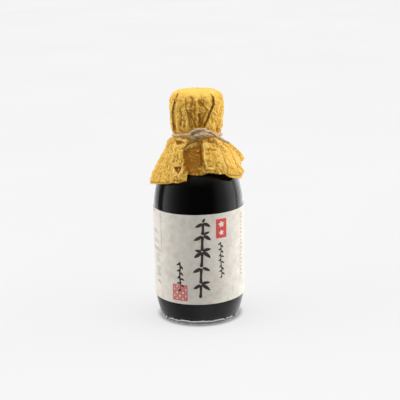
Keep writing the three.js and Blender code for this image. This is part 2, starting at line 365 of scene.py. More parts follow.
def make_camera():
    right, up, forward = camera_axes()
    data = bpy.data.cameras.new("camera")
    data.sensor_width = SENSOR_WIDTH
    data.lens = CAMERA_LENS
    data.clip_start = 0.05
    data.clip_end = 50
    camera = bpy.data.objects.new("camera", data)
    place = (np.array(CAMERA_AIM) - CAMERA_DISTANCE * forward) * MM
    turn = Matrix((right, up, -forward)).transposed().to_4x4()
    camera.matrix_world = Matrix.Translation(place) @ turn
    bpy.context.scene.collection.objects.link(camera)
    bpy.context.scene.camera = camera


# Radii, in metres, between which the floor goes from a painted contact shadow under the bottle to its
# own tints
CONTACT_SHADOW = (0.0225, 0.0285)
FLOOR_PAINTED_SHADOW = 0.13
FLOOR_TINTS = [(0.0, (0.53, 0.53, 0.533)), (1.0, 0.56)]
FLOOR_GLOW = [(0.0, (0.90, 0.90, 0.905)), (1.0, 0.96)]
GLOW_SHARE = 0.72
FLOOR_HALF = 12.0


def make_floor():
    material, tree, place = new_material("pale_floor")
    grain = noise(tree, place, 3.0, detail=2.0)
    away = add(tree, "VectorMath", {0: place}, operation="LENGTH").outputs["Value"]
    # Painted contact shadow: the floor's colour and its glow turn dark under the bottle
    open_floor = mapped(tree, away, *CONTACT_SHADOW)
    colour = blend(tree, open_floor, FLOOR_PAINTED_SHADOW, ramp(tree, grain, FLOOR_TINTS))
    light = blend(tree, open_floor, FLOOR_PAINTED_SHADOW, ramp(tree, grain, FLOOR_GLOW))
    shader = principled(tree, Base_Color=colour, Roughness=0.9, Specular_IOR_Level=0.1)
    glow = add(tree, "Emission", {"Color": light})
    mixed = add(tree, "MixShader", {0: GLOW_SHARE, 1: shader, 2: glow.outputs[0]})
    mesh = bpy.data.meshes.new("floor")
    corners = [(x * FLOOR_HALF, y * FLOOR_HALF, 0) for x, y in ((-1, -1), (1, -1), (1, 1), (-1, 1))]
    mesh.from_pydata(corners, [], [(0, 1, 2, 3)])
    mesh.materials.append(finished(material, tree, mixed.outputs[0]))
    floor = bpy.data.objects.new("floor", mesh)
    floor.visible_glossy = False
    floor.visible_diffuse = False
    bpy.context.scene.collection.objects.link(floor)


# What the glass mirrors level with the bottle, all round from behind it by its left side to
# the front and on by its right side: (degrees from the front, brightness)
STUDIO = [
    (-180, 1.5), (-150, 1.4), (-133, 1.0), (-127, 0.85), (-121, 0.13), (-106, 0.10), (-100, 0.9),
    (-96, 1.05), (-88, 0.84), (-80, 0.57), (-74, 0.42), (-66, 0.29), (-56, 0.17), (-47, 0.11),
    (-31, 0.055), (-15, 0.03), (33, 0.03), (42, 0.08), (48, 0.14), (54, 0.21), (65, 0.36),
    (72, 0.46), (78, 0.60), (84, 0.87), (98, 1.22), (109, 1.38), (116, 0.55), (121, 1.2),
    (127, 1.67), (140, 2.0), (160, 1.7), (180, 1.5),
]

# What it mirrors of the table close by, in the same way
TABLE = [
    (-180, 0.8), (-140, 0.60), (-115, 0.55), (-95, 0.50), (-80, 0.45), (-65, 0.38), (-42, 0.38),
    (-23, 0.42), (-5, 0.50), (12, 0.58), (50, 0.56), (64, 0.64), (80, 0.66), (96, 0.77),
    (105, 0.86), (115, 0.96), (140, 1.08), (160, 1.1), (180, 0.8),
]

# The light that the studio throws on rough surfaces, in the same way
ROOM = [
    (-180, 1.0), (-150, 0.7), (-120, 1.2), (-90, 1.8), (-75, 1.35), (-45, 0.36), (-20, 0.18),
    (0, 0.18), (20, 0.2), (45, 0.5), (60, 1.2), (75, 1.9), (90, 2.2), (115, 1.6), (140, 1.0),
    (180, 1.0),
]

# The same from halfway up the walls
ROOM_HIGH = [
    (-180, 1.2), (-130, 2.0), (-90, 3.2), (-65, 2.7), (-30, 0.5), (0, 0.15), (25, 0.5),
    (55, 2.7), (90, 3.8), (130, 2.2), (180, 1.2),
]


def make_world():
    world = bpy.data.worlds.new("studio")
    bpy.context.scene.world = world
    world.use_nodes = True
    tree = world.node_tree
    tree.nodes.clear()
    x, y, z = add(tree, "SeparateXYZ", {0: add(tree, "TexCoord").outputs["Generated"]}).outputs
    turn = maths(tree, "ARCTAN2", x, maths(tree, "MULTIPLY", y, -1.0))
    turn = maths(tree, "ADD", maths(tree, "DIVIDE", turn, 2 * math.pi), 0.5)

    def compass(stops):
        return ramp(tree, turn, [(0.5 + angle / 360.0, value) for angle, value in stops])

    def past(low, high, before, after):
        """One band of the surroundings, and another past it as z goes from low to high."""
        return blend(tree, mapped(tree, z, low, high), before, after)

    mirrored = past(-0.27, -0.40, compass(STUDIO), compass(TABLE))
    mirrored = past(0.35, 0.8, mirrored, 0.5)
    mirrored = past(-0.87, -0.95, mirrored, 0.04)
    thrown = past(0.35, 0.6, compass(ROOM), compass(ROOM_HIGH))
    thrown = past(0.75, 0.95, thrown, 1.5)
    plain = past(0.0, -0.12, (0.9, 0.9, 0.905), (0.33, 0.355, 0.32))
    path = add(tree, "LightPath").outputs
    glossy = path["Is Glossy Ray"]
    through = maths(tree, "MULTIPLY", glossy, path["Is Transmission Ray"])
    is_plain = maths(tree, "ADD", path["Is Camera Ray"], through, clamp=True)
    colour = blend(tree, is_plain, blend(tree, glossy, thrown, mirrored), plain)
    background = add(tree, "Background", {"Color": colour, "Strength": 1.0})
    add(tree, "OutputWorld", {"Surface": background.outputs[0]})


# Lamps: (name, place in metres, power in watts), all of one size and with one aim
LAMPS = [("key_right", (0.9, -0.35, 0.75), 1.2), ("fill_left", (-0.8, -0.1, 0.7), 1.0)]
LAMP_AIM = (0, 0, 0.08)
LAMP_SIZE = 0.6


def make_lamp(name, place, power):
    data = bpy.data.lights.new(name, "AREA")
    data.shape = "RECTANGLE"
    data.size = LAMP_SIZE
    data.size_y = LAMP_SIZE
    data.energy = power
    light = bpy.data.objects.new(name, data)
    light.location = place
    light.rotation_euler = (Vector(LAMP_AIM) - Vector(place)).to_track_quat("-Z", "Y").to_euler()
    light.visible_camera = False
    light.visible_glossy = False
    light.visible_transmission = False
    bpy.context.scene.collection.objects.link(light)


# Materials, with their colours as linear values

GLASS_TINTS = [(0.0, (0.91, 0.955, 0.93)), (1.0, (0.94, 0.965, 0.95))]
SAUCE_TINTS = [(0.0, (0.0010, 0.0006, 0.0005)), (1.0, (0.0020, 0.0011, 0.0008))]
LABEL_TINTS = [
    (0.30, (0.60, 0.555, 0.495)), (0.45, (0.68, 0.63, 0.56)),
    (0.55, (0.72, 0.675, 0.605)), (0.72, (0.78, 0.74, 0.67)),
]
LABEL_GREEN = (0.62, 0.66, 0.57)
LABEL_PINK = (0.76, 0.65, 0.59)
LABEL_FIBRE = (0.86, 0.83, 0.79)
PAPER_TINTS = [
    (0.30, (0.74, 0.42, 0.05)), (0.50, (0.81, 0.485, 0.075)), (0.72, (0.88, 0.57, 0.12)),
]
# Painted shade for the paper's valleys and folds
PAPER_VALLEY_SHADE = (0.38, 0.145, 0.007)
# Painted highlight for the paper's ridges
PAPER_RIDGE_HIGHLIGHT = (0.97, 0.73, 0.27)
# Painted shade along the creases of the paper's wrinkle bump
PAPER_CREASE_SHADE = (0.50, 0.25, 0.03)
PAPER_GLOW = (1.0, 0.80, 0.45)
TWINE_TINTS = [(0.3, (0.42, 0.29, 0.16)), (0.7, (0.70, 0.53, 0.32))]
# Painted shade for the groove between the cord's two strands
TWINE_GROOVE_SHADE = (0.15, 0.095, 0.05)

# Inks of the print, where they lie thick and where they lie thin
INKS = {
    "black_ink": ((0.035, 0.026, 0.024), (0.075, 0.058, 0.052)),
    "red_ink": ((0.62, 0.065, 0.05), (0.72, 0.12, 0.10)),
    "white_ink": ((0.78, 0.66, 0.62), (0.85, 0.76, 0.72)),
    "seal_ink": ((0.60, 0.13, 0.12), (0.68, 0.22, 0.20)),
    "grey_ink": ((0.42, 0.40, 0.39), (0.52, 0.50, 0.49)),
}


def glass_material():
    material, tree, place = new_material("clear_glass")
    ripple = noise(tree, place, 60.0, detail=1.0)
    return finished(material, tree, principled(
        tree,
        Base_Color=ramp(tree, ripple, GLASS_TINTS),
        Roughness=0.0,
        IOR=1.5,
        Transmission_Weight=1.0,
        Normal=bump(tree, ripple, 0.15, 0.05),
    ))


def sauce_material():
    material, tree, place = new_material("dark_sauce")
    colour = ramp(tree, noise(tree, place, 90.0, detail=2.0), SAUCE_TINTS)
    return finished(material, tree, principled(tree, Base_Color=colour, Roughness=0.05, IOR=1.02))


def label_material():
    """Mottled handmade paper with short fibres that lie across and upright."""
    material, tree, place = new_material("label_paper")
    colour = ramp(tree, noise(tree, place, 210.0, detail=5.0, roughness=0.6), LABEL_TINTS)
    tint = noise(tree, place, 130.0, detail=3.0)
    colour = tinted(tree, colour, tint, (0.52, 0.70), 0.5, LABEL_GREEN)
    colour = tinted(tree, colour, tint, (0.46, 0.30), 0.3, LABEL_PINK)
    across = noise(tree, place, 500.0, detail=2.0, stretch=(1, 1, 7))
    upright = noise(tree, place, 500.0, detail=2.0, stretch=(6, 6, 0.7))
    fibres = maths(tree, "MAXIMUM", across, upright)
    grain = noise(tree, place, 1500.0, detail=3.0)
    height = maths(tree, "ADD", grain, maths(tree, "MULTIPLY", fibres, 0.8))
    return finished(material, tree, principled(
        tree,
        Base_Color=tinted(tree, colour, fibres, (0.62, 0.74), 0.35, LABEL_FIBRE),
        Roughness=mapped(tree, grain, 0.2, 0.8, 0.78, 0.92),
        Specular_IOR_Level=0.25,
        Normal=bump(tree, height, 0.35, 0.12),
    ))


def ink_material(name):
    material, tree, place = new_material(name)
    cloud = noise(tree, place, 900.0)
    thick, thin = INKS[name]
    return finished(material, tree, principled(
        tree,
        Base_Color=ramp(tree, cloud, [(0.35, thick), (0.7, thin)]),
        Roughness=0.7,
        Specular_IOR_Level=0.3,
        Normal=bump(tree, cloud, 0.2, 0.05),
    ))


def yellow_paper_material():
    """Crumpled paper, with painted shade in its valleys and creases and painted highlights on its
    ridges, that lets light through.
    """
    material, tree, place = new_material("yellow_paper")
    relief = stored(tree, "relief")
    colour = ramp(tree, noise(tree, place, 260.0, detail=5.0, roughness=0.6), PAPER_TINTS)
    # The stored relief is painted shading; below 0 it darkens valleys and folds as painted shade
    colour = tinted(tree, colour, relief, (0.05, -1.0), 0.92, PAPER_VALLEY_SHADE)
    # Above 0 the stored painted shading paints highlights on ridges and fold edges
    colour = tinted(tree, colour, relief, (0.1, 1.2), 0.7, PAPER_RIDGE_HIGHLIGHT)
    bent = blend(tree, 0.004, place, noise(tree, place, 300.0))
    cells = add(tree, "TexVoronoi", {"Vector": bent, "Scale": 520.0}, feature="DISTANCE_TO_EDGE")
    wrinkles = cells.outputs["Distance"]
    # Painted shade along the creases that the same Voronoi edges bump in
    colour = tinted(tree, colour, wrinkles, (0.16, 0.0), 0.16, PAPER_CREASE_SHADE)
    grain = noise(tree, place, 1400.0)
    crease = mapped(tree, wrinkles, 0.0, 0.16)
    height = maths(tree, "ADD", crease, maths(tree, "MULTIPLY", grain, 1.1))
    normal = bump(tree, height, 0.7, 0.2)
    paper = principled(
        tree,
        Base_Color=colour,
        Roughness=mapped(tree, grain, 0.2, 0.8, 0.6, 0.85),
        Specular_IOR_Level=0.22,
        Sheen_Weight=0.06,
        Sheen_Roughness=0.4,
        Normal=normal,
    )
    glow = blend(tree, 1.0, colour, PAPER_GLOW, "MULTIPLY")
    through = add(tree, "BsdfTranslucent", {"Color": glow, "Normal": normal})
    share = maths(tree, "MULTIPLY", stored(tree, "skirt"), 0.07)
    mixed = add(tree, "MixShader", {0: share, 1: paper, 2: through.outputs[0]})
    return finished(material, tree, mixed.outputs[0])


def cord_material():
    material, tree, place = new_material("twine")
    colour = ramp(tree, noise(tree, place, 700.0), TWINE_TINTS)
    fuzz = noise(tree, place, 3000.0, detail=3.0)
    # Painted shade in the groove between the cord's strands
    return finished(material, tree, principled(
        tree,
        Base_Color=tinted(tree, colour, stored(tree, "strand"), (0.5, 0.0), 0.65, TWINE_GROOVE_SHADE),
        Roughness=mapped(tree, fuzz, 0.2, 0.8, 0.75, 0.95),
        Specular_IOR_Level=0.2,
        Sheen_Weight=0.1,
        Normal=bump(tree, fuzz, 0.4, 0.08),
    ))


# Bottle and sauce

def inner_wall(gap, top_z):
    """The inside of the glass from the middle of its floor up, moved into the glass by a gap."""
    radius = BODY_RADIUS - WALL + gap
    bore = BORE_RADIUS + gap
    floor = FLOOR_Z - gap
    return [
        (0, floor),
        *bend((2, floor), (18, floor - 0.6), (radius + 0.2, floor - 1.6), (radius, CORNER_Z), 24)[:-1],
        *bend((radius, CORNER_Z), (radius, 10), (radius, 13), (radius, HEEL_TOP_Z), 8),
        *bend((radius, SHOULDER_START_Z), (radius, 94.5), (bore, 104), (bore, NECK_START_Z), 40),
        (bore, top_z),
    ]


def bottle_profile():
    """The section of the glass from under its middle out, up, over the mouth and down inside."""
    lip = 0.8
    ring_top = RING_INNER - 0.9
    outside = [
        *bend((0, PUNT_Z), (12, PUNT_Z), (ring_top - 0.6, RING_Z + 0.2), (ring_top, RING_Z), 16),
        *bend((ring_top, RING_Z), (RING_INNER - 0.3, RING_Z - 0.4), (RING_INNER - 0.1, 1.0),
              (RING_INNER, 0.1), 8)[1:],
        (RING_INNER + 0.2, 0),
        *bend((RING_OUTER, 0), (24.5, 0), (24.8, 0.5), FOOT_EDGE, 10)[:-1],
        *bend(FOOT_EDGE, (25.9, 5.6), (BODY_RADIUS, 12), (BODY_RADIUS, HEEL_TOP_Z), 28),
        *bend((BODY_RADIUS, SHOULDER_START_Z), (BODY_RADIUS, 96), (NECK_RADIUS, 106),
              (NECK_RADIUS, NECK_START_Z), 56),
        (NECK_RADIUS, MOUTH_Z - lip),
        (NECK_RADIUS - 0.25, MOUTH_Z - 0.25),
        (NECK_RADIUS - lip, MOUTH_Z),
        (BORE_RADIUS + lip, MOUTH_Z),
    ]
    return [*outside, *inner_wall(0, MOUTH_Z - lip)[::-1]]


def uneven_ring(points):
    """Pressed glass is never quite true round the inside of its foot ring."""
    radius = np.hypot(points[:, 0], points[:, 1])
    angle = np.arctan2(points[:, 0], -points[:, 1])
    inside = (radius < RING_INNER + 0.1) & (radius > 12) & (points[:, 2] < PUNT_Z)
    sway = np.sin(7 * angle + 0.5) + 0.8 * np.sin(19 * angle + 1) + 0.7 * np.sin(43 * angle + 2)
    step = np.sin(13 * angle + 1) + 0.6 * np.sin(31 * angle)
    points[:, :2] *= (1 + 0.009 * sway * inside)[:, None]
    points[:, 2] += 0.2 * step * inside * (points[:, 2] > 0.15)
    return points


def make_bottle():
    points, faces = turned(bottle_profile()[1:-1])
    points = uneven_ring(points)
    mesh_piece("glass", points, faces, glass_material(), "bottle_glass", sharp=50)
    profile = inner_wall(SAUCE_IN_WALL, SAUCE_TOP_Z)
    points, faces = turned([*profile[1:], (6, SAUCE_TOP_Z)])
    mesh_piece("sauce", points, faces, sauce_material(), "soy_sauce", sharp=50)


# Label and its print. Places on them are u along the label and v up it, in millimetres.

LABEL_WAVE = 0.03


def on_label(u, v, radius):
    """Points on the label at a radius."""
    angle = np.degrees(np.asarray(u, float) / LABEL_OUTER)
    points = around(angle, radius, np.asarray(v, float))
    points[..., 2] += LABEL_SLOPE * points[..., 0]
    return points


def make_label():
    half = math.radians(LABEL_HALF_TURN) * LABEL_OUTER
    u, v = np.meshgrid(np.linspace(-half, half, 331), np.linspace(LABEL_BOTTOM_Z, LABEL_TOP_Z, 33))
    wave = LABEL_WAVE * soft_noise(on_label(u, v, (LABEL_INNER + LABEL_OUTER) / 2), 14.0, 5)
    top = on_label(u, v, LABEL_OUTER + wave)
    points, faces = slab(top, on_label(u, v, LABEL_INNER))
    mesh_piece("label_paper", points, faces, label_material(), "label", sharp=50)


# How far ink stands over the label and each patch over the last, and how deep it goes
PRINT_LIFT = 0.05
PRINT_STEP = 0.0015
PRINT_DEPTH = 0.06
STROKE_STEP = 0.35
PATCH_STEP = 0.7

# A leaf's places as shares of its length along it and millimetres across, and its widths there
LEAF_PLACES = ((0, 0), (0.35, 0.25), (0.7, 0.2), (1, 0))
LEAF_WIDTHS = (0.3, 1, 0.8, 0.12)


def printed(u, v, layer):
    """A patch of ink over a grid of u and v. Later patches lie a hair higher."""
    lift = PRINT_LIFT + PRINT_STEP * layer
    return slab(on_label(u, v, LABEL_OUTER + lift), on_label(u, v, LABEL_OUTER - PRINT_DEPTH))


def stroke(points, widths, layer):
    """A brush stroke through points (u, v), with its width at each of them."""
    path = smooth_path([(*p, w) for p, w in zip(points, widths)], STROKE_STEP)
    centre, width = path[:, :2], path[:, 2]
    side = unit(np.gradient(centre, axis=0)[:, ::-1] * (-1, 1))
    along = np.linspace(0, 1, len(centre))
    length = np.linalg.norm(np.diff(centre, axis=0), axis=1).sum()
    blunt = np.sqrt(np.clip(np.minimum(along, 1 - along) * length / 0.5, 0.02, 1))
    across = np.linspace(-0.5, 0.5, 5)
    grid = centre[:, None] + side[:, None] * (width * blunt)[:, None, None] * across[None, :, None]
    return printed(grid[..., 0], grid[..., 1], layer)


def leaf(u, v, angle, length, width, layer):
    """A leaf stroke from (u, v): thin, then full, then a point."""
    turn = math.radians(angle)
    way = np.array([math.cos(turn), math.sin(turn)])
    side = np.array([-way[1], way[0]])
    places = [np.array([u, v]) + way * length * along + side * off for along, off in LEAF_PLACES]
    return stroke(places, [share * width for share in LEAF_WIDTHS], layer)


def patches(boxes, first_layer=0):
    """Flat patches of ink, each a box of (left, right, bottom, top)."""
    parts = []
    for layer, (left, right, bottom, top) in enumerate(boxes, first_layer):
        us = np.linspace(left, right, 2 + int((right - left) / PATCH_STEP))
        u, v = np.meshgrid(us, np.linspace(bottom, top, 3))
        parts.append(printed(u, v, layer))
    return parts


# The joints of the bamboo's stalk, and its leaves: (u, v, angle, length, width)
STALK = [(0.3, 18.8), (0.7, 28.0), (1.2, 38.4), (1.8, 48.6), (2.2, 58.6), (2.5, 66.6)]
STALK_WIDTHS = (2.1, 1.45, 2.0)
JOINT_GAP = (0, 0.45)
LEAVES = [
    (0.9, 28.0, -38, 7.0, 1.9), (1.0, 28.4, 6, 5.6, 1.6), (0.4, 28.0, -146, 5.2, 1.8),
    (0.8, 38.4, -150, 5.6, 2.0), (1.6, 38.4, -24, 5.4, 1.7),
    (2.1, 48.6, -42, 6.4, 2.0), (2.2, 49.0, 12, 5.2, 1.7), (1.4, 48.6, -142, 6.0, 2.0),
    (1.3, 49.0, 168, 4.0, 1.5),
    (2.6, 58.6, -34, 5.6, 1.9), (1.8, 58.6, -150, 5.8, 1.8), (2.7, 59.0, 24, 4.4, 1.3),
    (2.6, 66.4, -30, 5.0, 1.7), (2.3, 66.4, -152, 5.2, 1.7), (2.5, 66.6, 62, 3.0, 1.3),
]
LEAF_FULLNESS = 1.15


def bamboo():
    """The tall brush drawing down the middle: a jointed stalk with leaves."""
    parts = []
    for k, (low, high) in enumerate(zip(STALK, STALK[1:])):
        start = np.array(low) + JOINT_GAP
        end = np.array(high) - JOINT_GAP
        middle = (start + end) / 2 + (0.12 * (-1) ** k, 0)
        parts.append(stroke([start, middle, end], STALK_WIDTHS, k))
    for u, v, angle, length, width in LEAVES:
        parts.append(leaf(u, v, angle, length, LEAF_FULLNESS * width, len(parts)))
    return parts


def twig(u, top, bottom, lean, thickness, size, leaves):
    """A thin stem with small leaves to its left and right in turn."""
    share = np.linspace(0, 1, 6)
    sway = u + lean * share + 0.25 * np.sin(np.arange(6) * 1.9)
    parts = [stroke(list(zip(sway, np.linspace(top, bottom, 6))), [thickness] * 6, 0)]
    for k in range(leaves):
        down = (k + 0.3) / leaves
        angle = -35 - 20 * math.sin(2.3 * k) if k % 2 else -145 + 20 * math.sin(1.7 * k)
        length = size * (1 + 0.25 * math.sin(3.1 * k))
        place = (np.interp(down, share, sway), top + (bottom - top) * down)
        parts.append(leaf(*place, angle, length, size * 0.42, k + 1))
    return parts


def blossom(u, v, size):
    """Five petals."""
    return [leaf(u, v, 90 + 72 * k, size, size * 0.62, k) for k in range(5)]


BORDER = 0.75
CELLS = 5
HALF_BAR = 0.33
HALF_DOT = 0.5


def lattice(left, right, bottom, top):
    """A square of crossed bars in a border, with a dot in every other cell."""
    boxes = [
        (left, right, bottom, bottom + BORDER), (left, right, top - BORDER, top),
        (left, left + BORDER, bottom, top), (right - BORDER, right, bottom, top),
    ]
    us, vs = np.linspace(left, right, 2 * CELLS + 1), np.linspace(bottom, top, 2 * CELLS + 1)
    for u, v in zip(us[2:-1:2], vs[2:-1:2]):
        boxes.append((u - HALF_BAR, u + HALF_BAR, bottom, top))
        boxes.append((left, right, v - HALF_BAR, v + HALF_BAR))
    for k, u in enumerate(us[1::2]):
        for v in vs[1::2][k % 2::2]:
            boxes.append((u - HALF_DOT, u + HALF_DOT, v - HALF_DOT, v + HALF_DOT))
    return patches(boxes)


# Blocks of short bars by the label's left edge: (left, right, bottom, top)
BAR_BLOCKS = [
    (-40.5, -34.7, 68.8, 70.2), (-38.7, -30.6, 56.2, 58.9), (-37.9, -29.8, 50.1, 52.4),
    (-38.7, -28.1, 45.4, 47.6), (-33.8, -28.9, 37.8, 43.4), (-33.8, -28.0, 29.2, 35.6),
    (-33.0, -28.2, 25.2, 26.4),
]
BAR_PITCH = 1.3
DOT_PITCH = 2.4


def faint_marks():
    """A thin line and the blocks by the left edge, and a row of dots by the right one."""
    boxes = [(-27.1, -26.7, 45.0, 70.0)]
    for left, right, bottom, top in BAR_BLOCKS:
        count = max(2, round((top - bottom) / BAR_PITCH))
        for k in range(count):
            v = bottom + (top - bottom) * (k + 0.5) / count
            end = right - 0.8 * (1 + math.sin(2.1 * k + left))
            boxes.append((left, end, v - HALF_BAR, v + HALF_BAR))
    for k in range(17):
        v = 67.5 - DOT_PITCH * k
        boxes.append((31.4, 33.0 + 0.8 * math.sin(1.7 * k), v - HALF_DOT, v + HALF_DOT))
    return patches(boxes)


def make_print():
    drawing = bamboo()
    drawing += twig(13.4, top=53.8, bottom=31.0, lean=0.6, thickness=0.6, size=2.3, leaves=13)
    drawing += twig(-12.3, top=41.8, bottom=23.4, lean=0.2, thickness=1.0, size=2.9, leaves=9)
    pieces = (
        ("ink_drawing", drawing, "black_ink"),
        ("red_panel", patches([(10.55, 17.7, 56.1, 68.0)], -10), "red_ink"),
        ("panel_blossom", blossom(14.1, 64.6, 2.1) + blossom(14.1, 59.4, 1.7), "white_ink"),
        ("lattice_square", lattice(-17.5, -7.6, 17.0, 27.2), "seal_ink"),
        ("faint_bars", faint_marks(), "grey_ink"),
    )
    for name, parts, ink in pieces:
        points, faces = merged(parts)
        mesh_piece(name, points, faces, ink_material(ink), sharp=50)


# Paper cover

# The creases of the cover, in order round the bottle, each from the rim of its top down to
# the hem of its skirt. Where hem angles step back, the paper folds over itself.
#   rim, tie, kink, hem   angle at the top rim, at the cord, below the cord and at the hem
#   lift                  how far the crease stands out of the covered head
#   reach, foot           radius and height of its end at the hem
#   belly                 how far the skirt swells outwards on its way down
#   sharp                 1 for a sharp fold, 0 for a soft bend
#   tuck                  angle by which the head's paper slides over or under itself there
CREASES = [
    (-76, -76, None, -78, 0.3, 29.8, 87.4, 0.8, 0.6, 0),
    (-58, -69, None, -66, 0.4, 28.9, 88.4, 1.0, 0, 0),
    (-55, -65, None, -51, -0.4, 28.6, 89.4, 1.4, 0, 0),
    (-46, -50, None, -35, 0.2, 28.4, 90.3, 2.0, 0, 0),
    (-33, -30, None, -24, -0.5, 28.4, 91.2, 2.8, 0, 0),
    (-22, -14, -25, -14, 0.3, 28.4, 92.3, 2.8, 1, 0),
    (-14, -9, -27, -27, -0.3, 25.0, 95.0, 1.0, 1, 0),
    (-4, -5, None, -15, 0.4, 24.4, 95.8, 0.2, 0, 0),
    (8, -1, None, 0, -0.5, 24.8, 95.2, 0.2, 0, 0),
    (22, 3, None, 19, 0.1, 24.4, 96.8, 0.2, 1, 0),
    (40, 7, None, 8, -0.5, 27.6, 97.3, 2.0, 1, 4),
    (43, 12, None, 22, 0.7, 28.2, 96.2, 3.2, 0, -4),
    (52, 30, None, 36, 0.4, 28.4, 95.0, 3.2, 0, 0),
    (64, 52, None, 62, -0.2, 28.7, 92.0, 2.2, 0, 0),
    (76, 68, None, 79, 0.4, 29.3, 92.4, 1.8, 1, 0),
    (84, 78, None, 88, -0.3, 26.6, 95.0, 1.0, 0.5, 0),
    (96, 90, None, 108, 0.3, 30.8, 97.8, 1.2, 1, 0),
    (112, 110, None, 121, -0.3, 27.4, 94.5, 1.6, 0.5, 0),
    (132, 130, None, 141, 0.4, 27.6, 92.5, 2.4, 0, 0),
    (150, 156, None, 169, 0.3, 28.0, 91.6, 2.4, 1, 0),
    (158, 163, None, 156, -0.4, 24.8, 93.0, 0.8, 1, 0),
    (176, 176, None, 180, 0.3, 24.4, 93.6, 0.2, 0, 0),
    (192, 188, None, 205, -0.4, 24.8, 93.2, 0.8, 1, 0),
    (200, 196, None, 193, 0.5, 28.0, 92.2, 2.2, 1, 0),
    (216, 214, None, 216, -0.3, 28.2, 90.2, 2.0, 0.3, 0),
    (234, 232, None, 236, 0.3, 30.0, 87.8, 1.8, 1, 0),
    (250, 250, None, 250, -0.3, 28.2, 91.0, 1.6, 0.3, 0),
    (268, 268, None, 266, 0.3, 28.0, 91.0, 1.2, 0.3, 0),
]
CREASE_VALUES = "rim tie kink hem lift reach foot belly sharp tuck".split()
COLUMN_WIDTH = 0.42

# The covered head in section, from the middle of its top down to the cord at the front
HEAD = [
    (0.6, 142.2), (3.0, 142.2), (6.0, 142.2), (10.8, 142.0), (13.6, 140.8), (15.3, 138.6),
    (16.1, 135.8), (16.3, 132.0), (16.0, 128.0), (15.6, 124.2), (14.9, 120.8), (14.1, 118.7),
    (13.6, 117.3),
]
HEAD_STEP = 0.36
RIM_Z = 135.8

# Heights between which the pleats of the head and its tucks fade at the cord
PLEAT_FADE = (117.0, 119.5)
TUCK_FADE = (117.0, 121.0)


def crease_values():
    """Each value of every crease as an array, which ends with the first crease once more."""
    values = dict(zip(CREASE_VALUES, np.array([*CREASES, CREASES[0]], float).T))
    straight = 0.7 * values["tie"] + 0.3 * values["hem"]
    values["kink"] = np.where(np.isnan(values["kink"]), straight, values["kink"])
    for name in ("rim", "tie", "kink", "hem"):
        values[name][-1] += 360
    return values


def cover_columns(values):
    """For each column of the cover's grid, the crease before it and its share of the way on."""
    ends = around(values["hem"], values["reach"], values["foot"])
    apart = np.linalg.norm(np.diff(ends, axis=0), axis=1)
    steps = np.maximum(3, np.round(apart / COLUMN_WIDTH)).astype(int)
    before = np.concatenate([np.full(n, k) for k, n in enumerate(steps)])
    share = np.concatenate([np.arange(n) / n for n in steps])
    return before, share


def spread(values, before, share):
    """The creases' values at the columns between them."""
    return values[before] + (values[before + 1] - values[before]) * share


def between(points, before, share, sharp):
    """Columns between crease points: a smooth curve that breaks at the sharp creases."""
    ring = np.vstack([points[-2], points, points[1]])
    step = np.diff(ring, axis=0)
    size = np.linalg.norm(step, axis=1, keepdims=True) + 1e-6
    soft = (step[:-1] / size[:-1] * size[1:] + step[1:] / size[1:] * size[:-1]) / (size[:-1] + size[1:])
    leave = soft[:-1] * size[1:-1]
    arrive = soft[1:] * size[1:-1]
    s = sharp[:, None]
    leave = leave + (step[1:-1] - leave) * s[:-1]
    arrive = arrive + (step[1:-1] - arrive) * s[1:]
    t = share[:, None]
    a, b = points[before], points[before + 1]
    return ((2 * t ** 3 - 3 * t ** 2 + 1) * a + (t ** 3 - 2 * t ** 2 + t) * leave[before]
            + (3 * t ** 2 - 2 * t ** 3) * b + (t ** 3 - t ** 2) * arrive[before])


def head_rows(values, before, share):
    """The covered head, row by row from its top down to the cord."""
    lift = spread(values["lift"], before, smoothstep(share, 0, 1))
    rows = []
    for radius, z in smooth_path(HEAD, HEAD_STEP):
        down = np.clip((RIM_Z - z) / (RIM_Z - TIE_Z - TIE_RISE), 0, 1)
        pleats = np.clip((radius - 10.8) / 4, 0, 1) * smoothstep(z, *PLEAT_FADE)
        slide = smoothstep(-z, -141.3, -137.5) * smoothstep(z, *TUCK_FADE)
        angles = values["rim"] + (values["tie"] - values["rim"]) * down + values["tuck"] * slide
        turn = spread(angles, before, share)
        follow = np.minimum(1, down / 0.92) ** 2
        height = z + (tie_height(turn) - TIE_Z - TIE_RISE) * follow
        rows.append(around(turn, radius + pleats * lift, height))
    return rows


# Rows of the skirt, and the share of the way down it at which its creases kink
SKIRT_ROWS = 88
KINK_AT = 0.3

# How far the skirt stands out under the cord at its left side, and where
LEFT_FLARE = 2.0
FLARE_ANGLES = (-80, 280)
FLARE_AT = 0.12


def skirt_rows(values, before, share):
    """The skirt, row by row from the cord down to its hem."""
    tie, kink, hem = values["tie"], values["kink"], values["hem"]
    on_left = sum(np.exp(-((tie - angle) / 30) ** 2) for angle in FLARE_ANGLES)
    rise = tie_height(tie) - 1.3
    rows = []
    for s in np.linspace(0, 1, SKIRT_ROWS):
        if s < KINK_AT:
            angle = tie + (kink - tie) * s / KINK_AT
        else:
            angle = kink + (hem - kink) * (s - KINK_AT) / (1 - KINK_AT)
        start = SKIRT_START_RADIUS + 0.25 * (values["reach"] - 27.5) * min(1, 6 * s + 0.4)
        flare = LEFT_FLARE * on_left * math.exp(-((s - FLARE_AT) / FLARE_AT) ** 2)
        swell = 4 * s * (1 - s) * values["belly"] + flare
        radius = start + (values["reach"] - start) * s + 0.75 * swell
        z = rise + (values["foot"] - rise) * s + 0.5 * swell
        rows.append(between(around(angle, radius, z), before, share, values["sharp"]))
    return rows


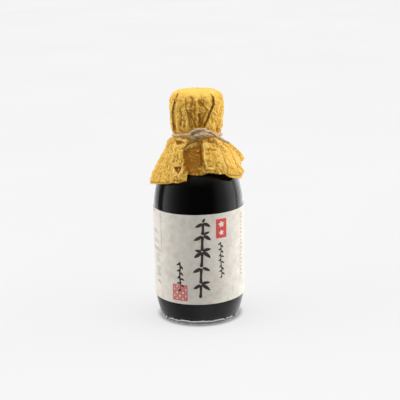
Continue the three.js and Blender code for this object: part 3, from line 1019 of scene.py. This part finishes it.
def sheet_normals(grid):
    """The sheet's outward directions, square to its creases, so that a fold keeps its thickness."""
    down = np.empty_like(grid)
    down[1:-1] = grid[2:] - grid[:-2]
    down[0] = grid[1] - grid[0]
    down[-1] = grid[-1] - grid[-2]
    down = unit(down)

    def towards(other):
        step = other - grid
        return unit(step - (step * down).sum(-1, keepdims=True) * down)

    across = towards(np.roll(grid, -1, axis=1)) - towards(np.roll(grid, 1, axis=1))
    return unit(np.cross(down, across))


# The folded crumples, from large to small: (size, height, shrinking from top to bottom)
FOLDED_FACETS = [(3.2, 0.66, 0.8), (1.8, 0.50, 0.8), (1.15, 0.28, 1.0)]


def crumple(points):
    """How far crumpled paper stands in or out, in millimetres."""
    warp = np.stack([soft_noise(points, 5.0, seed) for seed in (11, 12, 13)], axis=-1)
    places = points + 1.2 * warp
    total = 0.36 * facets(places * (1, 1, 0.8), 6.0, 1)
    for seed, (cell, height, squeeze) in enumerate(FOLDED_FACETS, 2):
        folded = np.abs(facets(places * (1, 1, squeeze), cell, seed))
        total = total + height * (folded - 0.4)
    return total


PLEATS = 40
SHORT_CREASES = 260
WRINKLE_SEED = 11


def random_wrinkles(head_count, step):
    """Wrinkles in the sheet's own rows and columns: pleats at the cord and creases anywhere."""
    rows, columns = step.shape
    rng = np.random.default_rng(WRINKLE_SEED)
    total = np.zeros(step.shape)
    place = np.arange(columns)

    def wrinkle(first, last, start, drift, width, height, fade_first, fade_last):
        along = np.linspace(0, 1, last - first)[:, None]
        away = (place[None] - start - drift * along + columns / 2) % columns - columns / 2
        across = away * step[first:last] / width
        ends = np.minimum(1, np.minimum(along / fade_first, (1 - along) / fade_last))
        ridge = np.exp(-np.abs(across) ** 1.3)
        total[first:last] += height * ridge * np.clip(ends, 0, 1)

    for k in range(PLEATS):
        start = (k + rng.uniform(-0.4, 0.4)) * columns / PLEATS
        length = int(rng.uniform(12, 44))
        side = rng.choice([-1, 1])
        wrinkle(head_count - length, head_count, start + rng.uniform(-4, 4), rng.uniform(-5, 5),
                rng.uniform(0.35, 0.8), side * rng.uniform(0.2, 0.6), 0.8, 0.02)
        length = int(rng.uniform(20, 64))
        wrinkle(head_count, head_count + length, start, rng.uniform(-10, 10),
                rng.uniform(0.5, 1.0), -side * rng.uniform(0.2, 0.6), 0.02, 0.8)
    for k in range(SHORT_CREASES):
        length = int(rng.uniform(8, 30))
        first = int(rng.uniform(22, rows - length))
        wrinkle(first, first + length, rng.uniform(0, columns), rng.uniform(-14, 14),
                rng.uniform(0.25, 0.5), rng.choice([-1, 1]) * rng.uniform(0.05, 0.16), 0.3, 0.3)
    return total


def seen(points):
    """Where points appear to the camera, in millimetres right of and above the point it aims at."""
    right, up, forward = camera_axes()
    away = points - CAMERA_AIM
    scale = CAMERA_DISTANCE / (CAMERA_DISTANCE + away @ forward)
    return (away @ right) * scale, (away @ up) * scale


# The folds that show from the front: (width, height, painted shading, places), with a height below 0
# for a groove, and painted shading that paints shade below 0 and a highlight above 0. Places are pairs
# of millimetres right of and above the point that the camera aims at.
FRONT_FOLDS = [
    # Head
    (0.6, -0.6, -1.2, -13.5, 67.0, -14.4, 63.5, -14.7, 60.0),
    (0.6, -0.5, -0.9, -8.7, 64.6, -8.9, 60.5, -8.2, 57.6),
    (0.9, 0.5, 0.4, -3.7, 59.6, -2.3, 62.4, -1.9, 57.0, -1.5, 53.0),
    (1.2, -0.6, -1.0, -6.8, 64.6, -4.9, 63.0, -4.9, 57.8),
    (1.1, -0.6, -1.0, -1.2, 62.6, 0.6, 60.0, 1.6, 57.4),
    (0.8, -0.5, -1.0, -9.9, 60.6, -8.1, 55.1, -6.6, 49.6, -5.9, 43.7),
    (0.8, 0.4, 0.3, -8.4, 58.6, -6.8, 54.5, -5.0, 49.0, -4.4, 44.7),
    (0.8, -0.6, -1.2, -8.1, 56.2, -5.3, 51.3, -3.6, 47.4, -2.7, 43.6),
    (0.8, 0.45, 0.4, -2.4, 56.0, -1.8, 50.6, -1.5, 45.0),
    (0.9, -0.6, -1.2, -1.0, 54.0, -0.4, 49.0, 0.1, 43.6),
    (0.8, -0.5, -1.0, 4.9, 57.2, 3.2, 53.4, 1.6, 49.6, 1.0, 44.2),
    (0.9, 0.4, 0.4, 5.4, 67.6, 7.6, 66.2, 9.2, 64.8),
    (0.6, -0.5, -1.0, 11.0, 48.0, 10.8, 44.6, 10.2, 41.4),
    (0.55, -0.3, -0.6, -12.4, 56.0, -11.6, 50.6, -12.4, 44.0),
    (0.5, -0.3, -0.5, -9.6, 50.0, -9.0, 43.6),
    # A broad painted shade down the middle of the head, with no relief
    (5.5, 0.0, -0.7, -2.6, 63.0, -2.2, 58.0, -1.0, 52.0, -0.6, 44.0),
    # Under the knot, and the middle panel
    # A broad painted shade over the middle panel, with no relief
    (5.5, 0.0, -1.25, -4.2, 33.6, -4.6, 28.0, -3.8, 20.0, -3.0, 13.0),
    (0.9, 0.3, 0.5, -1.0, 35.0, -6.0, 34.0, -9.5, 31.6),
    (0.9, -1.0, -1.5, -15.2, 36.0, -12.4, 36.2, -9.6, 35.6),
    (0.8, 0.6, 0.9, -13.2, 38.0, -10.4, 37.2, -7.4, 37.0),
    (0.9, -0.6, -1.2, -10.9, 29.8, -8.7, 30.0, -5.6, 31.4, -1.2, 32.2),
    (1.5, -0.5, -1.5, 0.6, 37.4, 0.8, 31.0, 1.2, 24.0, 2.4, 18.0),
    (1.7, -0.4, -1.4, -10.4, 31.0, -8.6, 25.0, -8.0, 19.5, -8.2, 14.5),
    # Right panel
    (1.3, 0.6, 1.0, 2.6, 35.4, 3.8, 33.8, 5.0, 31.6),
    (0.8, 0.4, 1.0, 2.2, 37.0, 2.6, 30.0, 3.2, 24.0, 4.6, 18.4),
    (0.8, -0.5, -1.0, 3.9, 31.8, 7.0, 31.2, 10.0, 30.6),
    (1.1, -0.8, -1.2, 4.2, 37.2, 7.0, 36.2, 9.2, 36.6),
    (0.9, 0.3, 0.3, 18.8, 33.0, 22.6, 26.0, 25.2, 19.4),
    # Left panel
    (0.6, -0.5, -0.9, -16.8, 12.6, -13.6, 11.6, -10.8, 12.8),
]

# Edges, given in the same way, which stand up on the left of their path and drop to its right, with a
# painted shadow line just right of the path and a faint painted highlight on the raised side
FRONT_EDGES = [
    (1.0, 0.7, -1.3, -15.8, 41.0, -16.9, 48.5, -17.2, 53.5, -16.7, 57.9, -16.0, 62.8),
    (1.6, 0.2, -1.5, 1.8, 43.6, 2.8, 47.4, 4.4, 51.4, 6.2, 55.4, 7.9, 60.0, 8.6, 65.4),
    (1.6, 1.1, -1.2, -0.6, 36.4, -6.2, 34.4, -9.5, 32.0, -11.8, 30.2),
    (1.8, 0.5, -0.8, 17.2, 16.6, 14.6, 25.0, 11.8, 33.8),
    (1.8, 0.5, -0.8, 23.6, 18.2, 20.0, 26.0, 16.4, 34.2),
    (0.8, 0.5, -0.8, 9.0, 18.0, 5.6, 18.2, 3.4, 17.2),
]

# Hollows that show from the front, with painted shade inside: (depth, painted shading, corners)
FRONT_HOLLOWS = [
    (2.2, -1.5, [(-17.0, 20.6), (-11.6, 21.2), (-12.4, 18.0), (-14.0, 15.6), (-16.2, 18.2)]),
    (1.2, -1.5, [(-15.6, 37.6), (-11.2, 37.4), (-11.6, 34.6), (-14.8, 34.0)]),
]

# The share of a fold's length over which it fades at each end, and the width of a broad one
FOLD_FADE = 0.2
BROAD_WIDTH = 3


def along_path(x, h, places):
    """Signed distance from a path, positive on its left, and the share of its length nearest."""
    path = smooth_path(places, 1.2)
    nearest = np.full(x.shape, 1e9)
    signed = np.zeros(x.shape)
    share = np.zeros(x.shape)
    steps = len(path) - 1
    for k, (a, b) in enumerate(zip(path[:-1], path[1:])):
        way = b - a
        t = np.clip(((x - a[0]) * way[0] + (h - a[1]) * way[1]) / (way @ way), 0, 1)
        dx, dh = x - a[0] - t * way[0], h - a[1] - t * way[1]
        distance = np.hypot(dx, dh)
        closer = distance < nearest
        nearest = np.where(closer, distance, nearest)
        side = np.sign(way[0] * dh - way[1] * dx)
        signed = np.where(closer, side * distance, signed)
        share = np.where(closer, (k + t) / steps, share)
    return signed, share


def inside_depth(x, h, corners):
    """How deep places lie inside a shape whose corners go round clockwise, or 0 outside it."""
    deep = np.full(x.shape, 1e9)
    for a, b in zip(corners, [*corners[1:], corners[0]]):
        way = unit(np.subtract(b, a))
        deep = np.minimum(deep, (x - a[0]) * way[1] - (h - a[1]) * way[0])
    return np.maximum(deep, 0)


def front_folds(points, facing):
    """Relief, and painted shade and highlight, of the folds that show from the front."""
    x, h = seen(points)
    relief = np.zeros(x.shape)
    painted_shading = np.zeros(x.shape)
    for fold in [*FRONT_EDGES, *FRONT_FOLDS]:
        width, height, shade, *places = fold
        signed, share = along_path(x, h, np.reshape(places, (-1, 2)))
        near = np.abs(signed) / width
        ends = np.clip(np.minimum(share, 1 - share) / FOLD_FADE, 0, 1) * (near < 5)
        if fold in FRONT_EDGES:
            left = np.exp(-near) * (signed > 0)
            right = np.exp(-near * 2.2) * (signed <= 0)
            relief += height * ends * (left - 0.8 * right)
            # Painted shadow line beside the edge, and a faint painted highlight on its raised side
            painted_shading += ends * (shade * np.exp(-((signed + 0.25) / 0.42) ** 2) + 0.2 * left)
        else:
            sharpness = 2.0 if width > BROAD_WIDTH else 1.2
            relief += height * ends * np.exp(-near ** sharpness)
            painted_shading += shade * ends * np.exp(-(near * 1.25) ** sharpness)
    for depth, shade, corners in FRONT_HOLLOWS:
        amount = np.clip(inside_depth(x, h, corners) / 0.5, 0, 1)
        relief -= depth * amount
        # Painted shade inside the hollow
        painted_shading += shade * amount
    return relief * facing, painted_shading * facing


def blurred(values, reach):
    """Values averaged over their neighbours on a grid that closes on itself across."""
    padded = np.pad(values, ((reach, reach), (0, 0)), mode="edge")
    down = sum(padded[k:k + len(values)] for k in range(2 * reach + 1))
    return sum(np.roll(down, k, axis=1) for k in range(-reach, reach + 1)) / (2 * reach + 1) ** 2


def at_hem(skirt):
    """The direction in which the skirt goes on past its hem."""
    return unit(skirt[-1] - skirt[-6])


def ragged(skirt):
    """The skirt with a hem that isn't cut quite straight."""
    length = 0.3 * soft_noise(skirt[-1], 4.0, 21) + 0.15 * facets(skirt[-1], 1.6, 22)
    share = np.linspace(0, 1, len(skirt))[:, None, None] ** 5
    return skirt + share * at_hem(skirt)[None] * length[None, :, None]


def outward_share(normal, points):
    """1 where the sheet's face looks away from the axis, -1 where it is folded back."""
    radial = unit(points * (1, 1, 0))
    return np.clip((normal * radial).sum(-1) * 3, -1, 1)


# How far the lining reaches below the sheet: (degrees from the front, millimetres), and its
# depth under the sheet in its first row and its last
LINING_LENGTH = [
    (-180, 0.3), (-120, 1.2), (-80, 1.5), (-45, 1.0), (-33, 0.3), (-15, 0.2), (5, 0.5), (14, -0.4),
    (34, -0.2), (42, 1.5), (66, 2.2), (74, 0.4), (90, -0.5), (120, -0.3), (150, 1.2), (180, 0.3),
]
LINING_ROWS = 16
LINING_DEPTH = (2.2, 0.45)

# The material paints a place darker as shade or paler as a highlight by its painted shading, from minus
# this to this
DEEPEST_PAINTED_SHADING = 1.5


def make_lining(skirt, material):
    """The second layer of paper, which shows below the first along its hem."""
    angle = np.degrees(np.arctan2(skirt[-1][:, 0], -skirt[-1][:, 1]))
    longer = np.interp(angle, *np.array(LINING_LENGTH).T) + 0.25 * soft_noise(skirt[-1], 5.0, 31)
    share = np.linspace(0, 1, LINING_ROWS)[:, None, None] ** 2
    rows = skirt[-LINING_ROWS:] + share * at_hem(skirt)[None] * longer[None, :, None]
    normal = sheet_normals(rows)
    side = outward_share(normal, rows)
    relief = 0.7 * crumple(rows) - np.linspace(*LINING_DEPTH, LINING_ROWS)[:, None]
    face = rows + normal * (relief * side)[..., None]
    back = face - normal * PAPER * side[..., None]
    points, faces = ring_grid([*face, *back[::-1], face[0]], closed_ends=False)
    piece = mesh_piece("paper_lining", points, faces, material)
    # Painted shading from the lining's curvature, a little paler overall
    painted_shading = np.clip(1.6 * (relief - blurred(relief, 3)) + 0.2, -DEEPEST_PAINTED_SHADING, DEEPEST_PAINTED_SHADING)
    attach_number(piece, "relief", np.concatenate([painted_shading.ravel(), painted_shading.ravel(), painted_shading[0]]))
    attach_number(piece, "skirt", np.ones(len(points)))


def held_flat(rows, head_count):
    """The share of its relief that each row keeps, less at the top's middle and at the cord."""
    hold = np.ones(rows)
    row = np.arange(head_count)
    hold[:head_count] = 0.5 * smoothstep(row, 0, 14) + 0.5 * smoothstep(row, 34, 50)
    hold[head_count - 6:head_count] = np.linspace(0.9, 0.2, 6)
    hold[head_count:head_count + 5] = np.linspace(0.2, 0.9, 5)
    return hold[:, None]


def make_cover():
    values = crease_values()
    before, share = cover_columns(values)
    head = np.array(head_rows(values, before, share))
    skirt = ragged(np.array(skirt_rows(values, before, share)))
    outer = np.concatenate([head, skirt])
    rows, columns = outer.shape[:2]
    head_count = len(head)
    normal = sheet_normals(outer)
    outward = outward_share(normal, outer)
    outward[:head_count] = 1
    step = np.linalg.norm(np.roll(outer, -1, axis=1) - outer, axis=-1)
    facing = smoothstep(-normal[..., 1], 0.0, 0.35)
    folds, shade = front_folds(outer, facing)
    crumpled = crumple(outer) + random_wrinkles(head_count, step)
    crumpled[head_count:] *= 1.15
    relief = crumpled * (1 - 0.35 * (np.abs(folds) > 0.15)) + folds
    relief = relief * held_flat(rows, head_count)
    sheet = outer + normal * (relief * outward)[..., None]
    inner = (sheet - sheet_normals(sheet) * PAPER)[head_count:][::-1]
    turn = spread(values["tie"], before, share)
    neck_low = around(turn, COVER_NECK_RADIUS, tie_height(turn) - 1.6)
    neck_top = around(turn, COVER_NECK_RADIUS, MOUTH_Z + 0.3)
    points, faces = ring_grid([*sheet, *inner, neck_low, neck_top])
    material = yellow_paper_material()
    piece = mesh_piece("paper_sheet", points, faces, material, "paper_cover")
    # Painted shading from the relief's curvature and the front folds' painted shade and highlights,
    # turned round for the sheet's inner side
    painted_shading = 2.5 * (relief - blurred(relief, 2)) + 1.3 * (relief - blurred(relief, 8))
    painted_shading = np.clip(painted_shading + shade, -DEEPEST_PAINTED_SHADING, DEEPEST_PAINTED_SHADING)
    inner_painted_shading = -painted_shading[head_count:][::-1]
    neck = np.zeros(2 * columns + 2)
    attach_number(piece, "relief", np.concatenate([painted_shading.ravel(), inner_painted_shading.ravel(), neck]))
    is_skirt = np.ones(2 * SKIRT_ROWS * columns)
    attach_number(piece, "skirt", np.concatenate([np.zeros(head_count * columns), is_skirt, neck]))
    make_lining(skirt, material)


# Cord

# Places along the cord: (angle, radius, z), each strand from left to right
LOWER_STRAND = [
    (-5, 16.0, 116.3), (6, 16.9, 116.9), (16, 16.7, 117.0), (26, 15.9, 117.0), (37, 15.5, 116.7),
]
UPPER_STRAND = [
    (-29, 15.4, 117.2), (-17, 15.7, 117.7), (-8, 16.3, 118.2), (0, 17.2, 118.8),
    (8, 17.9, 119.3), (15, 18.2, 119.7), (21, 18.1, 119.8), (26, 18.2, 119.3),
]
FREE_END = [(31, 18.9, 118.0), (41, 20.8, 115.0), (53, 24.0, 112.0)]
LOOP = [
    (0, 16.2, 116.4), (-7, 17.0, 115.9), (-12, 17.4, 116.6), (-14, 17.3, 117.9), (-11, 17.5, 119.3),
    (-4, 17.9, 120.6), (4, 18.0, 121.3), (12, 17.7, 121.1), (18, 17.0, 120.3), (22, 16.2, 119.2),
]
INNER_TURN = [
    (-9, 16.3, 117.3), (-4, 17.7, 117.5), (3, 18.6, 117.9), (10, 18.9, 118.4), (16, 18.6, 118.5),
    (22, 17.6, 118.1), (27, 16.4, 117.6),
]
# Angles of the ring round the back: the first, a limit past the last, and the step
RING_ANGLES = (52, 310.1, 21.5)
TWIST_PITCH = 6.5
GROOVE_DEPTH = 0.18
CORD_SIDES = 20
CORD_STEP = 0.22


def rope(places):
    """A twisted two-ply cord along places given as (angle, radius, z)."""
    path = smooth_path([around(*place) for place in places], CORD_STEP)
    ahead = unit(np.gradient(path, axis=0))
    side = np.zeros_like(path)
    side[0] = unit(np.cross(ahead[0], (0.3, 0.2, 1.0)))
    for k in range(1, len(path)):
        side[k] = unit(side[k - 1] - ahead[k] * np.dot(side[k - 1], ahead[k]))
    up = np.cross(ahead, side)
    count = np.arange(len(path))
    along = count * CORD_STEP
    section = np.arange(CORD_SIDES) * 2 * math.pi / CORD_SIDES
    lobe = np.abs(np.cos(section[None] - (along * 2 * math.pi / TWIST_PITCH)[:, None]))
    radius = CORD_RADIUS * (1 - GROOVE_DEPTH + GROOVE_DEPTH * lobe ** 0.7)
    radius *= (1 + 0.05 * np.sin(along * 0.9) + 0.03 * np.sin(along * 2.3 + 1))[:, None]
    radius *= np.sqrt(np.clip(np.minimum(count, count[::-1]) / 3.0, 0.12, 1))[:, None]
    across = side[:, None] * np.cos(section)[:, None] + up[:, None] * np.sin(section)[:, None]
    points, faces = ring_grid(path[:, None] + radius[..., None] * across)
    # How far each point lies from the groove between the strands, where the material paints shade
    strand = np.append(lobe.ravel(), [0, 0])
    return points, faces, strand


def make_cord():
    ring = [(angle, TIE_RADIUS, tie_height(angle)) for angle in np.arange(*RING_ANGLES)]
    strands = [[*LOWER_STRAND, *ring, *UPPER_STRAND, *FREE_END], LOOP, INNER_TURN]
    ropes = [rope(places) for places in strands]
    points, faces = merged([each[:2] for each in ropes])
    piece = mesh_piece("twisted_cord", points, faces, cord_material(), "tie_cord")
    attach_number(piece, "strand", np.concatenate([each[2] for each in ropes]))


make_camera()
bpy.context.scene.view_settings.view_transform = "Standard"
make_floor()
make_world()
for lamp in LAMPS:
    make_lamp(*lamp)
make_bottle()
make_label()
make_print()
make_cover()
make_cord()
